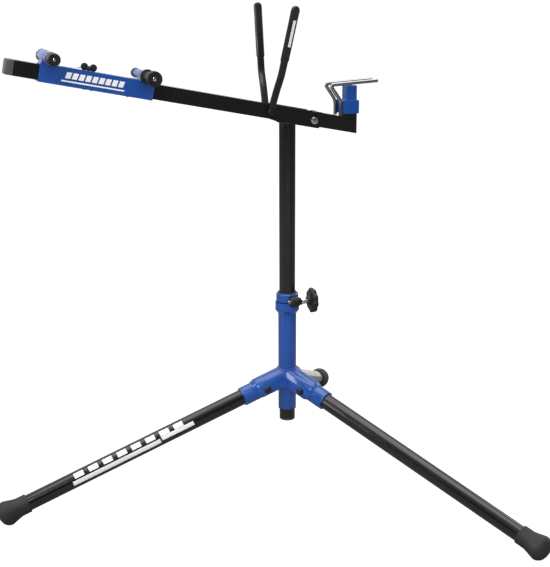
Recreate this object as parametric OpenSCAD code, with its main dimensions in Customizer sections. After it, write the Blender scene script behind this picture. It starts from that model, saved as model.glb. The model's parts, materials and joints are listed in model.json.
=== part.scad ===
// Folding bicycle repair stand: a three-leg base, a sliding post, and a sloping
// beam that carries a sliding fork mount, two frame guides and a bottom bracket cradle.
// The origin is on the floor at the centre of the footprint, +X runs along the beam
// towards the cradle, -Y is the near side and +Z is up.

/* [Tripod] */
// Distance from the post to the centre of each foot
foot_reach = 636; // [560:4:720]
// Height at which the leg axes would meet the post axis
hub_z = 254; // [240:1:270]
// Turn of the tripod under the beam
tripod_turn = 1.3; // [0:0.1:5]
// Diameter of the leg tubes
leg_d = 35; // [32:0.5:35]
// Radius of the rubber foot dome
foot_r = 28; // [25:0.5:30]
// Distance from the post axis to each leg pivot, along the leg
pivot_s = 60; // [58:1:62]

/* [Post] */
// Diameter of the sliding post
post_d = 35; // [33:0.5:35]
// Lowest point of the post above the floor
post_bottom = 149; // [125:1:160]
// Diameter of the hub tube
hub_d = 40; // [39.5:0.1:41]
// Lower end of the hub tube
hub_bottom = 178; // [170:1:185]
// Top face of the clamp collar
collar_top = 446; // [430:1:470]

/* [Beam] */
// Side of the square beam tube
beam_w = 30; // [28:0.5:30]
// Wall of the square beam tube
beam_wall = 2; // [1.5:0.1:2.5]
// Height of the beam centreline above the floor, at the post axis
beam_z = 833; // [780:1:860]
// Slope of the beam, fork end up
beam_tilt = 11.4; // [9:0.1:13]
// Distance from the post axis to the fork end of the beam
beam_left = 592; // [560:1:620]
// Horizontal distance from the post axis to the cut face at the cradle end
beam_right = 153; // [145:1:160]

/* [Carriage] */
// Distance from the post axis to the nearer end of the carriage
carriage_start = 297; // [290:1:310]
// Length of the carriage sleeve
carriage_len = 230; // [220:1:235]
// Distance from the post axis to the front axle
front_axle_t = 513; // [505:1:515]
// Distance from the post axis to the rear axle
rear_axle_t = 318; // [314:1:325]
// Width between the fork ends of a front wheel
front_width = 100; // [98:1:102]
// Width between the frame ends of a rear wheel
rear_width = 130; // [126:1:135]

/* [Frame guides] */
// Height of the guides above their pivot
guide_h = 211; // [190:1:230]
// Half of the distance between the tips of the guides
guide_spread = 113; // [95:1:116]
// Lean of the guides from vertical, towards the cradle
guide_lean = 4.8; // [0:0.1:8]

/* [Cradle] */
// Height of the cradle sleeve's lower edge above the floor
cradle_z = 829.5; // [829:0.5:835]
// Diameter of the cradle rods
rod_d = 8; // [7:0.5:8]
// Half of the distance between the two rods
rod_half_gap = 15; // [12:0.5:15.5]

/* [Hidden] */
$fn = 64;
play = 0.4;          // gap between sliding or folding faces
running = 0.05;      // radial gap of a pin or shaft in its bore
cut = 0.5;           // how far a cutting shape passes through a face

blue = [0.07, 0.20, 0.62];
black = [0.06, 0.06, 0.065];
plastic = [0.16, 0.15, 0.15];
rubber = [0.13, 0.13, 0.13];
chrome = [0.78, 0.79, 0.80];
steel = [0.62, 0.63, 0.65];
nylon = [0.10, 0.10, 0.10];

// The origin is at the centre of the box round the three feet.
post_x = foot_reach * (cos(tripod_turn) - cos(60 - tripod_turn)) / 2;
post_y = -foot_reach * (sin(60 + tripod_turn) - sin(60 - tripod_turn)) / 2;

// Tripod
leg_angles = [180 + tripod_turn, 300 + tripod_turn, 60 + tripod_turn];
foot_z = foot_r - 1;
leg_slope = atan((hub_z - foot_z) / foot_reach);
leg_len = foot_reach / cos(leg_slope);
leg_r = leg_d / 2;
leg_wall = 1.8;
socket_r = leg_r + 3.7;
socket_end = 113;
tube_start = pivot_s + 12;
hood_in = socket_r + play;
hood_r = hood_in + 4;
hood_end = pivot_s + 16;
hood_drop = 12;
bolt_r = 5;
cap_r = 8;
cap_h = 6.5;
boot_len = 44;
boot_r = leg_r + 3;

// Post, hub and collar
post_r = post_d / 2;
post_wall = 2;
hub_r = hub_d / 2;
hub_wall = 1.75;
hub_top = collar_top - 37;
collar_low_r = 26.4;
collar_up_r = 24.4;
bush_r = post_r + 1.5;
slit_z = collar_top - 21;
slit_h = 2.5;
clamp_y = -29;
clamp_z = collar_top - 15.5;
boss_r = 12;
boss_x0 = -5;
boss_x1 = 20;
stud_r = 4;
knob_x = 42.5;
knob_t = 11;
knob_lobes = 9;

// Beam, saddle and pivot
half = beam_w / 2;
pivot_t = -43;
pin_t = 55;
pin_n = -3;
pin_r = 4;
pin_head_r = 7;
cheek_in = half + play;
sheet = 2.5;
cheek_out = cheek_in + sheet;
saddle_t0 = -55;
saddle_t1 = 71;
end_cap_len = 16;
stub_c = beam_right - half;
stub_top = cradle_z + 23.5;

// Carriage
sleeve_in = half + play;
sleeve_out = sleeve_in + 2.4;
front_tube_r = 12.5;
front_n = sleeve_out + front_tube_r + 0.1;
rear_tube_r = 9.5;
rear_n = sleeve_out + rear_tube_r + 0.1;
axle_r = 4.5;
skewer_r = 2.5;
front_near = -45;
front_far = front_near + front_width;
rear_near = -65;
rear_far = rear_near + rear_width;
roller_y = -27;
dropout_gap = 5;
wing_t = -429;

// Guides
arm_w = 15;
arm_t = 5;
arm_y = cheek_out + 0.6 + arm_t / 2;
arm_path = [[arm_y, -0.1], [arm_y, 10], [40, 45], [61, 77], [guide_spread, guide_h]];
grip_len = 122;
grip_w = 18;
grip_t = 9;

// Cradle
cradle_in = half + play;
cradle_out = cradle_in + 3.1;
cradle_h = 27.5;
rod_r = rod_d / 2;
riser_w = 24;
riser_d = 25;
riser_c = stub_c + 3.6;
riser_top = cradle_z + 57;
rod_x = stub_c - cradle_out - rod_r - 0.05;
rod_bend = 8;
lap = 1;             // how far a straight rod reaches into its bend
rod_tip = 1.5;       // tapered length at a rod's end
rod_path = [[rod_x, cradle_z - 3.5], [rod_x, cradle_z + 26.5], [rod_x - 24.6, cradle_z + 61.3],
            [rod_x + 83, cradle_z + 66.9]];

// ---- frames of reference ----

module on_post() translate([post_x, post_y, 0]) children();

// x along the beam towards the cradle, z square to the beam
module on_beam() on_post() translate([0, 0, beam_z]) rotate([0, beam_tilt, 0]) children();

// x outwards along the leg, z square to it
module on_leg(angle) on_post() rotate([0, 0, angle]) translate([0, 0, hub_z])
    rotate([0, leg_slope, 0]) children();

// z upwards along a guide, from the pivot bolt
module on_guide() on_beam() translate([pivot_t, 0, 0])
    rotate([0, guide_lean - beam_tilt, 0]) children();

// ---- basic shapes ----

// round bar or ring along +Y, from y0 to y1
module bar_y(r, y0, y1, bore = 0) translate([0, y1, 0]) rotate([90, 0, 0]) difference() {
    cylinder(r = r, h = y1 - y0);
    if (bore > 0) translate([0, 0, -cut]) cylinder(r = bore, h = y1 - y0 + 2 * cut);
}

// round bar or ring along +X, from x0 to x1
module bar_x(r, x0, x1, bore = 0) translate([x0, 0, 0]) rotate([0, 90, 0]) difference() {
    cylinder(r = r, h = x1 - x0);
    if (bore > 0) translate([0, 0, -cut]) cylinder(r = bore, h = x1 - x0 + 2 * cut);
}

// box given by its low and high corners
module block(low, high) translate(low) cube(high - low);

// hexagon across corners 2r, along +X
module hex_x(r, x0, x1) translate([x0, 0, 0]) rotate([0, 90, 0]) cylinder(r = r, h = x1 - x0, $fn = 6);

// hexagon across corners 2r, along +Y
module hex_y(r, y0, y1) translate([0, y1, 0]) rotate([90, 0, 0]) cylinder(r = r, h = y1 - y0, $fn = 6);

// ---- tripod ----

module hub_tube() color(blue) on_post() difference() {
    translate([0, 0, hub_bottom]) cylinder(r = hub_r, h = hub_top - hub_bottom);
    translate([0, 0, hub_bottom - cut])
        cylinder(r = hub_r - hub_wall, h = hub_top - hub_bottom + 2 * cut);
}

module lower_bush() color(nylon) on_post() difference() {
    union() {
        translate([0, 0, hub_bottom]) cylinder(r = hub_r - hub_wall, h = 22);
        translate([0, 0, hub_bottom - 1.5]) cylinder(r = hub_r, h = 1.5);
    }
    translate([0, 0, hub_bottom - 2]) cylinder(r = post_r + running, h = 25);
}

// two-band collar: the upper band is freed by a horizontal slit and squeezes the bush
module clamp_collar() color(blue) on_post() difference() {
    union() {
        translate([0, 0, hub_top - 7]) cylinder(r1 = hub_r + 1.5, r2 = collar_low_r, h = 5);
        translate([0, 0, hub_top - 2]) cylinder(r = collar_low_r, h = slit_z - hub_top + 2);
        translate([0, 0, slit_z]) cylinder(r = collar_up_r, h = collar_top - slit_z - 2);
        translate([0, 0, collar_top - 2]) cylinder(r1 = collar_up_r, r2 = collar_up_r - 2, h = 2);
    }
    translate([0, 0, hub_top - 8]) cylinder(r = hub_r, h = 8);
    translate([0, 0, hub_top - 1]) cylinder(r = bush_r + running, h = collar_top - hub_top + 2);
    block([-30, -30, slit_z], [30, 8, slit_z + slit_h]);
    block([-1, -30, slit_z + 1], [1, -10, collar_top + 1]);
}

module upper_bush() color(nylon) on_post() difference() {
    union() {
        translate([0, 0, hub_top + 1]) cylinder(r = bush_r, h = collar_top - hub_top - 0.7);
        translate([0, 0, collar_top + 0.3]) cylinder(r = bush_r + 1.5, h = 2);
    }
    translate([0, 0, hub_top]) cylinder(r = post_r + running, h = collar_top - hub_top + 4);
}

// half-pipe hood with straight sides, in the leg's own frame
module hood_profile(r) {
    circle(r = r);
    translate([-r, -hood_drop]) square([2 * r, hood_drop]);
}

module yoke(angle) color(blue) intersection() {
    on_leg(angle) difference() {
        union() {
            rotate([90, 0, 90]) linear_extrude(hood_end) hood_profile(hood_r);
            translate([hood_end, 0, 0]) rotate([0, 90, 0])
                cylinder(r1 = hood_r, r2 = hood_in + 0.8, h = 9);
        }
        translate([-cut, 0, 0]) rotate([90, 0, 90]) linear_extrude(hood_end + 20) hood_profile(hood_in);
        block([-cut, -40, -60], [hood_end + 20, 40, -hood_drop]);
        translate([pivot_s, 0, 0]) bar_y(bolt_r, -40, 40);
    }
    on_post() rotate([0, 0, angle]) difference() {
        linear_extrude(400) polygon([[0, 0], [120, 120 * tan(60)], [120, -120 * tan(60)]]);
        translate([0, 0, -cut]) cylinder(r = hub_r, h = 401);
    }
}

module yoke_left() yoke(leg_angles[0]);
module yoke_right() yoke(leg_angles[1]);
module yoke_rear() yoke(leg_angles[2]);

module pivot_bolts() color(steel) for (a = leg_angles)
    on_leg(a) translate([pivot_s, 0, 0]) bar_y(bolt_r, -hood_r - 3, hood_r + 3);

module bolt_caps() color(plastic) for (a = leg_angles, side = [-1, 1])
    on_leg(a) translate([pivot_s, side * hood_r, 0]) rotate([-90 * side, 0, 0]) difference() {
        union() {
            cylinder(r = cap_r, h = cap_h - 2);
            translate([0, 0, cap_h - 2]) cylinder(r1 = cap_r, r2 = cap_r - 2.5, h = 2);
        }
        translate([0, 0, -cut]) cylinder(r = bolt_r, h = 3 + cut);
    }

// the socket turns under the hood, so its inner end is a ball about the pivot
module leg_socket(angle) color(blue) on_leg(angle) difference() {
    union() {
        translate([pivot_s, 0, 0]) sphere(r = socket_r);
        bar_x(socket_r, pivot_s, socket_end);
    }
    bar_x(leg_r, tube_start, socket_end + 1);
    translate([pivot_s, 0, 0]) bar_y(bolt_r + running, -40, 40);
}

module leg_tube(angle) color(black) on_leg(angle)
    bar_x(leg_r, tube_start, leg_len - 8, leg_r - leg_wall);

module foot(angle) color(rubber) difference() {
    on_leg(angle) difference() {
        union() {
            bar_x(boot_r, leg_len - boot_len, leg_len - 15);
            translate([leg_len, 0, 0]) rotate([0, 90, 0]) rotate(180) rotate_extrude() intersection() {
                circle(r = foot_r);
                translate([0, -foot_r]) square(2 * foot_r);
            }
        }
        bar_x(leg_r, leg_len - boot_len - 1, leg_len - 8);
    }
    translate([-1000, -1000, -50]) cube([2000, 2000, 50]);
}

module leg_socket_left() leg_socket(leg_angles[0]);
module leg_socket_right() leg_socket(leg_angles[1]);
module leg_socket_rear() leg_socket(leg_angles[2]);
module leg_tube_left() leg_tube(leg_angles[0]);
module leg_tube_right() leg_tube(leg_angles[1]);
module leg_tube_rear() leg_tube(leg_angles[2]);
module foot_left() foot(leg_angles[0]);
module foot_right() foot(leg_angles[1]);
module foot_rear() foot(leg_angles[2]);

// ---- clamp screw ----

module on_clamp() on_post() translate([0, clamp_y, clamp_z]) children();

module clamp_boss() color(black) difference() {
    on_clamp() difference() {
        union() {
            bar_x(boss_r, boss_x0 + 3, boss_x1 - 7);
            translate([boss_x0, 0, 0]) rotate([0, 90, 0]) cylinder(r1 = boss_r - 3, r2 = boss_r, h = 3);
            translate([boss_x1 - 7, 0, 0]) rotate([0, 90, 0]) cylinder(r1 = boss_r, r2 = 7, h = 7);
        }
        bar_x(stud_r + running, boss_x0 - 1, boss_x1 + 1);
    }
    on_post() translate([0, 0, slit_z - 20]) cylinder(r = collar_up_r, h = 60);
    on_post() translate([0, 0, hub_top - 10]) cylinder(r = collar_low_r, h = slit_z - hub_top + 10);
}

module clamp_stud() color(chrome) on_clamp() {
    bar_x(stud_r, boss_x0 - 4, knob_x + 6);
    bar_x(8, boss_x1 + 0.4, boss_x1 + 2.4);
    hex_x(7.5, boss_x1 + 2.4, boss_x1 + 8);
}

module clamp_knob() color(plastic) on_clamp() difference() {
    union() {
        translate([knob_x, 0, 0]) rotate([90, 0, 90]) linear_extrude(knob_t) {
            circle(r = 24.5);
            for (i = [0 : knob_lobes - 1]) rotate(i * 360 / knob_lobes) translate([22.5, 0]) circle(r = 5.5);
        }
        bar_x(10, knob_x - 7, knob_x + 1);
    }
    bar_x(stud_r, knob_x - 8, knob_x + 6);
    bar_x(9, knob_x + knob_t - 3, knob_x + knob_t + 1);
}

// ---- post ----

module below_saddle() on_beam() block([-300, -100, -900], [300, 100, -cheek_out]);

module post_tube() color(black) intersection() {
    on_post() translate([0, 0, post_bottom + 5]) difference() {
        cylinder(r = post_r, h = beam_z - post_bottom);
        translate([0, 0, -cut]) cylinder(r = post_r - post_wall, h = beam_z - post_bottom + 2 * cut);
    }
    below_saddle();
}

module post_end_cap() color(plastic) on_post() translate([0, 0, post_bottom]) {
    cylinder(r1 = post_r - 1, r2 = post_r, h = 1);
    translate([0, 0, 1]) cylinder(r = post_r, h = 4);
    translate([0, 0, 5]) cylinder(r = post_r - post_wall, h = 15);
}

module cheek_outline() polygon([[saddle_t0, half + 1], [saddle_t0, -half + 1], [pivot_t - 1, -half],
    [-27, -cheek_out], [saddle_t1 - 3, -cheek_out], [saddle_t1, -cheek_out + 3], [saddle_t1, half + 1]]);

// the cross pin drops into notches that are open at the top
module pin_notch() translate([pin_t, 0, pin_n]) {
    bar_y(pin_r + running, -40, 40);
    rotate([0, -5, 0]) block([-pin_r - 0.6, -40, 0], [pin_r + 0.6, 40, 40]);
}

module saddle() color(black) on_beam() difference() {
    union() {
        for (y = [-cheek_out, cheek_in]) translate([0, y + sheet, 0]) rotate([90, 0, 0])
            linear_extrude(sheet) cheek_outline();
        block([-24, -cheek_in - 1, -cheek_out], [saddle_t1 - 3, cheek_in + 1, -cheek_in]);
    }
    translate([pivot_t, 0, 0]) bar_y(bolt_r, -40, 40);
    pin_notch();
}

module beam_bolt() color(steel) on_beam() translate([pivot_t, 0, 0]) {
    bar_y(bolt_r, -arm_y - arm_t / 2 - 1, arm_y + arm_t / 2 + 9);
    bar_y(8, -arm_y - arm_t / 2 - 1.4, -arm_y - arm_t / 2 - 0.4);
    hex_y(7.4, -arm_y - arm_t / 2 - 6, -arm_y - arm_t / 2 - 1.4);
}

module beam_nut() color(steel) on_beam() translate([pivot_t, 0, 0]) difference() {
    union() {
        bar_y(8, arm_y + arm_t / 2 + 0.4, arm_y + arm_t / 2 + 1.6);
        hex_y(8, arm_y + arm_t / 2 + 1.6, arm_y + arm_t / 2 + 8);
    }
    bar_y(bolt_r, 0, 60);
}

// ---- beam ----

// side view of the beam and its upright stub, shrunk by the wall for the hollow
module beam_outline(inset, left, top) {
    intersection() {
        translate([0, beam_z]) rotate(-beam_tilt)
            translate([-left, inset - half]) square([left + beam_right + 60, beam_w - 2 * inset]);
        translate([-1000, 0]) square([1000 + beam_right - inset, 2000]);
    }
    translate([stub_c - half + inset, beam_z - 30]) square([beam_w - 2 * inset, top - beam_z + 30]);
}

module beam_tube() color(black) difference() {
    on_post() rotate([90, 0, 0]) difference() {
        translate([0, 0, -half]) linear_extrude(beam_w)
            beam_outline(0, beam_left - end_cap_len, stub_top);
        translate([0, 0, beam_wall - half]) linear_extrude(beam_w - 2 * beam_wall)
            beam_outline(beam_wall, beam_left + 10, stub_top + 5);
    }
    on_beam() translate([pivot_t, 0, 0]) bar_y(bolt_r + 2, -40, 40);
    on_beam() translate([pin_t, 0, pin_n]) bar_y(pin_r + running, -40, 40);
}

module pivot_bush() color(steel) on_beam() translate([pivot_t, 0, 0])
    bar_y(bolt_r + 2, -half - 0.1, half + 0.1, bolt_r + running);

module beam_end_cap() color(plastic) on_beam() {
    block([-beam_left, -half, -half], [end_cap_len - beam_left, half, half]);
    block([end_cap_len - beam_left, -half + beam_wall, -half + beam_wall],
          [end_cap_len - beam_left + 12, half - beam_wall, half - beam_wall]);
}

module lock_pin() color(chrome) on_beam() translate([pin_t, 0, pin_n]) {
    bar_y(pin_r, -cheek_out - 6, cheek_out + 4);
    bar_y(pin_head_r, -cheek_out - 7, -cheek_out - 5.3);
    bar_y(pin_head_r, -cheek_out - 2.7, -cheek_out - 1);
}

// wire ring that hangs on the neck of the pin's head
module lock_pin_ring() color(chrome) on_beam() translate([pin_t, -cheek_out - 4, pin_n]) rotate([90, 0, 0])
    rotate_extrude() translate([pin_r + 1.3, 0]) circle(r = 1.2);

// ---- frame guides ----

// offset of a path at its point i, square to the bisector of its neighbours
function dir(a, b) = (b - a) / norm(b - a);
function bisector(path, i) =
    let (d0 = dir(path[max(i - 1, 0)], path[max(i, 1)]),
         d1 = dir(path[min(i, len(path) - 2)], path[min(i + 1, len(path) - 1)]),
         d = (d0 + d1) / norm(d0 + d1))
    [d[1], -d[0]] / (d * d1);
function ribbon(path, t) =
    concat([for (i = [0 : len(path) - 1]) path[i] + bisector(path, i) * t / 2],
           [for (i = [len(path) - 1 : -1 : 0]) path[i] - bisector(path, i) * t / 2]);

module guide_arm(side) color(black) on_guide() difference() {
    union() {
        translate([-arm_w / 2, 0, 0]) rotate([90, 0, 90]) linear_extrude(arm_w) scale([side, 1])
            polygon(ribbon(arm_path, arm_t));
        translate([0, side * arm_y, 0]) bar_y(arm_w / 2, -arm_t / 2, arm_t / 2);
    }
    bar_y(bolt_r + running, -60, 60);
}

// stadium-section grip over the last straight of the arm, round at the tip
module grip_profile() {
    square([grip_w - grip_t, grip_t], center = true);
    for (x = [-1, 1]) translate([x * (grip_w - grip_t) / 2, 0]) circle(r = grip_t / 2);
}

module guide_grip(side) color(rubber) {
    last = len(arm_path) - 1;
    d = dir(arm_path[last - 1], arm_path[last]);
    on_guide() translate([0, side * arm_path[last][0], arm_path[last][1]])
        rotate([-side * atan2(d[0], d[1]), 0, 0]) difference() {
            union() {
                translate([0, 0, 4 - grip_len]) linear_extrude(grip_len - grip_w / 2) grip_profile();
                intersection() {
                    translate([0, 0, 4 - grip_w / 2]) linear_extrude(grip_w / 2) grip_profile();
                    translate([0, 0, 4 - grip_w / 2]) bar_y(grip_w / 2, -grip_t, grip_t);
                }
            }
            block([-arm_w / 2, -arm_t / 2, -grip_len], [arm_w / 2, arm_t / 2, 0]);
        }
}

module guide_arm_near() guide_arm(-1);
module guide_arm_far() guide_arm(1);
module guide_grip_near() guide_grip(-1);
module guide_grip_far() guide_grip(1);

// ---- carriage ----

module carriage_sleeve() color(blue) on_beam() difference() {
    block([-carriage_start - carriage_len, -sleeve_out, -sleeve_out],
          [-carriage_start, sleeve_out, sleeve_out]);
    block([-carriage_start - carriage_len - 1, -sleeve_in, -sleeve_in],
          [-carriage_start + 1, sleeve_in, sleeve_in]);
    translate([wing_t, 0, 0]) cylinder(r = 3 + running, h = 40);
}

module carriage_screws() color(steel) on_beam() for (t = [-433, -418, -345])
    translate([t, 0, -sleeve_out]) rotate([180, 0, 0]) {
        cylinder(r = 3.2, h = 1.2);
        translate([0, 0, 1.2]) cylinder(r1 = 3.2, r2 = 1.8, h = 1);
    }

// foot that carries an axle tube on top of the carriage
module mount_block(t, n, r, w) color(blue) on_beam() translate([-t, 0, 0]) difference() {
    block([-w, -15, sleeve_out], [w, 15, n - r * 0.35]);
    translate([0, 0, n]) bar_y(r, -20, 20);
}

module front_mount_block() mount_block(front_axle_t, front_n, front_tube_r, 11.5);
module rear_mount_block() mount_block(rear_axle_t, rear_n, rear_tube_r, 9);

module on_front_axle() on_beam() translate([-front_axle_t, 0, front_n]) children();
module on_rear_axle() on_beam() translate([-rear_axle_t, 0, rear_n]) children();

// cross tube with a short axle stub at each end for the open frame ends
module axle_tube(r, y0, y1) color(blue) difference() {
    union() {
        bar_y(r, y0, y1);
        bar_y(axle_r, y0 - dropout_gap + 0.5, y1 + dropout_gap - 0.5);
    }
    bar_y(skewer_r + running, y0 - 20, y1 + 20);
}

module front_axle_tube() on_front_axle() axle_tube(front_tube_r, front_near, front_far);
module front_skewer() color(steel) on_front_axle()
    bar_y(skewer_r, front_near - dropout_gap - 29, front_far + dropout_gap + 9);

module knob(r, y0, y1, neck) color(plastic) difference() {
    union() {
        bar_y(r, y0, y1 - 4);
        bar_y(neck, y1 - 5, y1);
    }
    bar_y(r * 0.55, y0 - 1, y0 + 4);
    bar_y(skewer_r, y0 - 2, y1 + 1);
}

module front_knob() on_front_axle()
    knob(front_tube_r, front_near - dropout_gap - 32, front_near - dropout_gap, 10);

module end_nut(r, y0, y1) color(steel) difference() {
    union() {
        bar_y(r, y0, y0 + 4);
        hex_y(r - 1, y0 + 4, y1);
    }
    bar_y(skewer_r, y0 - 1, y1 + 1);
}

module front_nut() on_front_axle()
    end_nut(11, front_far + dropout_gap, front_far + dropout_gap + 12);

module rear_axle_tube() on_rear_axle() color(blue) difference() {
    union() {
        bar_y(rear_tube_r, roller_y, rear_far);
        bar_y(axle_r, rear_near - dropout_gap + 0.5, rear_far + dropout_gap - 0.5);
    }
    bar_y(skewer_r + running, rear_near - 20, rear_far + 20);
}

module rear_skewer() color(steel) on_rear_axle()
    bar_y(skewer_r, rear_near - dropout_gap - 17, rear_far + dropout_gap + 9);

module rear_knob() on_rear_axle()
    knob(15.5, rear_near - dropout_gap - 20, rear_near - dropout_gap, 11);

module rear_nut() on_rear_axle() end_nut(9, rear_far + dropout_gap, rear_far + dropout_gap + 12);

// flanged roller that carries the chain while the rear wheel is out
module chain_roller() color(plastic) on_rear_axle() difference() {
    union() {
        bar_y(14.5, roller_y - 6.4, roller_y - 0.4);
        bar_y(10, rear_near + 0.4, roller_y - 6);
        bar_y(13, rear_near + 0.4, rear_near + 4);
    }
    bar_y(axle_r + running, rear_near - 1, roller_y + 1);
}

module wing_screw() color(steel) on_beam() translate([wing_t, 0, half + 0.3])
    cylinder(r = 3, h = sleeve_out - half + 8);

module wing_knob() color(black) on_beam() translate([wing_t, 0, sleeve_out + 0.5]) difference() {
    union() {
        cylinder(r = 6.5, h = 8);
        for (s = [-1, 1]) translate([s * 9, 0, 6.5]) bar_y(7, -3, 3);
        block([-14, -3, 0.5], [14, 3, 4]);
        block([-24, -1.5, 2.5], [-14, 1.5, 4]);
    }
    translate([0, 0, -1]) cylinder(r = 3, h = 8.7 + sleeve_out - sleeve_in - 2);
}

// ---- bottom bracket cradle ----

module cradle_sleeve() color(blue) on_post() difference() {
    block([stub_c - cradle_out, -cradle_out, cradle_z],
          [stub_c + cradle_out, cradle_out, cradle_z + cradle_h]);
    block([stub_c - cradle_in, -cradle_in, cradle_z - 1],
          [stub_c + cradle_in, cradle_in, cradle_z + cradle_h - 3]);
    translate([stub_c, 0, cradle_z + 13]) bar_y(3 + running, 10, 30);
}

module cradle_riser() color(blue) on_post() translate([riser_c, 0, 0]) difference() {
    block([-riser_w / 2, -riser_d / 2, cradle_z + cradle_h], [riser_w / 2, riser_d / 2, riser_top]);
    block([2 - riser_w / 2, 2 - riser_d / 2, cradle_z + cradle_h - 1],
          [riser_w / 2 - 2, riser_d / 2 - 2, riser_top - 2]);
}

// straight piece of rod from a to b in the XZ plane, its end at b bevelled by tip
module rod_run(a, b, tip = 0)
    translate([a[0], 0, a[1]]) rotate([0, 90 - atan2(b[1] - a[1], b[0] - a[0]), 0])
        rotate_extrude() polygon([[0, 0], [rod_r, 0], [rod_r, norm(b - a) - tip],
                                  if (tip > 0) [rod_r - tip, norm(b - a)], [0, norm(b - a)]]);

// length of straight taken up by a bend of angle turn
function tangent(turn) = rod_bend * tan(turn / 2);
function heading(a, b) = atan2(b[1] - a[1], b[0] - a[0]);

// bend at corner b, between runs a-b and b-c, swollen a hair by the bending
module rod_corner(a, b, c) {
    h0 = heading(a, b);
    h1 = heading(b, c);
    turn = h1 - h0;
    side = turn > 0 ? 1 : -1;
    start = b - dir(a, b) * tangent(abs(turn));
    centre = start + side * rod_bend * [-sin(h0), cos(h0)];
    from = side > 0 ? h0 - 90 : h1 + 90;
    translate([centre[0], 0, centre[1]]) rotate([90, 0, 0])
        rotate_extrude(angle = abs(turn), start = from) translate([rod_bend, 0]) circle(r = rod_r + 0.1);
}

module bent_rod(p) {
    t1 = tangent(abs(heading(p[1], p[2]) - heading(p[0], p[1])));
    t2 = tangent(abs(heading(p[2], p[3]) - heading(p[1], p[2])));
    rod_run(p[0], p[1] - dir(p[0], p[1]) * (t1 - lap));
    rod_corner(p[0], p[1], p[2]);
    rod_run(p[1] + dir(p[1], p[2]) * (t1 - lap), p[2] - dir(p[1], p[2]) * (t2 - lap));
    rod_corner(p[1], p[2], p[3]);
    rod_run(p[2] + dir(p[2], p[3]) * (t2 - lap), p[3] + dir(p[2], p[3]) * rod_tip, rod_tip);
}

module cradle_rods() color(chrome) on_post() for (side = [-1, 1])
    translate([0, side * rod_half_gap, 0]) bent_rod(rod_path);

module on_cradle_screw() on_post() translate([stub_c, 0, cradle_z + 13]) children();

module cradle_screw() color(steel) on_cradle_screw() bar_y(3, half + 0.3, cradle_out + 10);

module cradle_knob() color(plastic) on_cradle_screw() difference() {
    union() {
        bar_y(9, cradle_out + 5, cradle_out + 15);
        bar_y(6, cradle_out + 0.5, cradle_out + 6);
    }
    bar_y(3, 0, cradle_out + 10);
}

hub_tube();
clamp_collar();
yoke_left();
yoke_right();
yoke_rear();
lower_bush();
pivot_bolts();
bolt_caps();
clamp_boss();
clamp_stud();
clamp_knob();
leg_socket_left();
leg_tube_left();
foot_left();
leg_socket_right();
leg_tube_right();
foot_right();
leg_socket_rear();
leg_tube_rear();
foot_rear();
upper_bush();
post_tube();
post_end_cap();
saddle();
beam_bolt();
beam_nut();
beam_tube();
beam_end_cap();
pivot_bush();
lock_pin();
lock_pin_ring();
guide_arm_near();
guide_grip_near();
guide_arm_far();
guide_grip_far();
carriage_sleeve();
carriage_screws();
front_mount_block();
front_axle_tube();
front_skewer();
front_knob();
front_nut();
rear_mount_block();
rear_axle_tube();
rear_skewer();
rear_knob();
rear_nut();
chain_roller();
wing_knob();
wing_screw();
cradle_sleeve();
cradle_riser();
cradle_rods();
cradle_screw();
cradle_knob();
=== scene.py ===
"""Looks for the bicycle repair stand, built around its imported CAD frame."""

import json
from math import atan, atan2, cos, pi, radians, sin, sqrt, tan

import bpy
from mathutils import Matrix, Vector


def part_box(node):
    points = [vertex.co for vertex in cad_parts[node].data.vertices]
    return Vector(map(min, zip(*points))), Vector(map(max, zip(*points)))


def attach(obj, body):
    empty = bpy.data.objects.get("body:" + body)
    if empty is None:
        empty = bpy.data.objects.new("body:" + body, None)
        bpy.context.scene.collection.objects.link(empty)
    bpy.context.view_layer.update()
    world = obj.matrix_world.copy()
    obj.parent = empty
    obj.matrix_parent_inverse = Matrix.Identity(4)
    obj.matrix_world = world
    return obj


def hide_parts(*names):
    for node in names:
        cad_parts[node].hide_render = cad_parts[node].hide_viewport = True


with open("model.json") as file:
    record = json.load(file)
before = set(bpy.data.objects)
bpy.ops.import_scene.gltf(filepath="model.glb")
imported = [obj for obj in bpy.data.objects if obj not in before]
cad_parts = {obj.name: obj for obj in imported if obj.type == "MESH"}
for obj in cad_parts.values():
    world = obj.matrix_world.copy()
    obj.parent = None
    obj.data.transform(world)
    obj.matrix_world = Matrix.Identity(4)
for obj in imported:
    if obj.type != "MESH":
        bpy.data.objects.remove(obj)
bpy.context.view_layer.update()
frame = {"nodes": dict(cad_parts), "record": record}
nodes = frame["nodes"]
MM = 0.001

# ---------------------------------------------------------------- frames of the CAD model
hub_low, hub_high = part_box("hub_tube")
joints = frame["record"]["behaviour"]["joints"]
joint_at = {j["name"]: Vector(j["pos_m"]) for j in joints if "pos_m" in j}
pad_at = {m["name"]: Vector(m["pos_m"]) for m in frame["record"]["mounts"]}
POST_X = (hub_low.x + hub_high.x) / 2
POST_Y = (hub_low.y + hub_high.y) / 2
BEAM_Z = 0.833                  # where the beam's line meets the post's axis
BEAM_TILT = radians(11.4)       # the fork end is the higher one
GUIDE_LEAN = radians(4.8)
FOOT_Z = 0.027                  # centre of a foot's dome
HOOD_R = 25.6                   # outer radius of a yoke's hood, mm
LEG_R = 17.5                    # outer radius of a leg tube, mm


def from_post(p):
    """Level distance from the post's axis."""
    return sqrt((p.x - POST_X) ** 2 + (p.y - POST_Y) ** 2)


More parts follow.
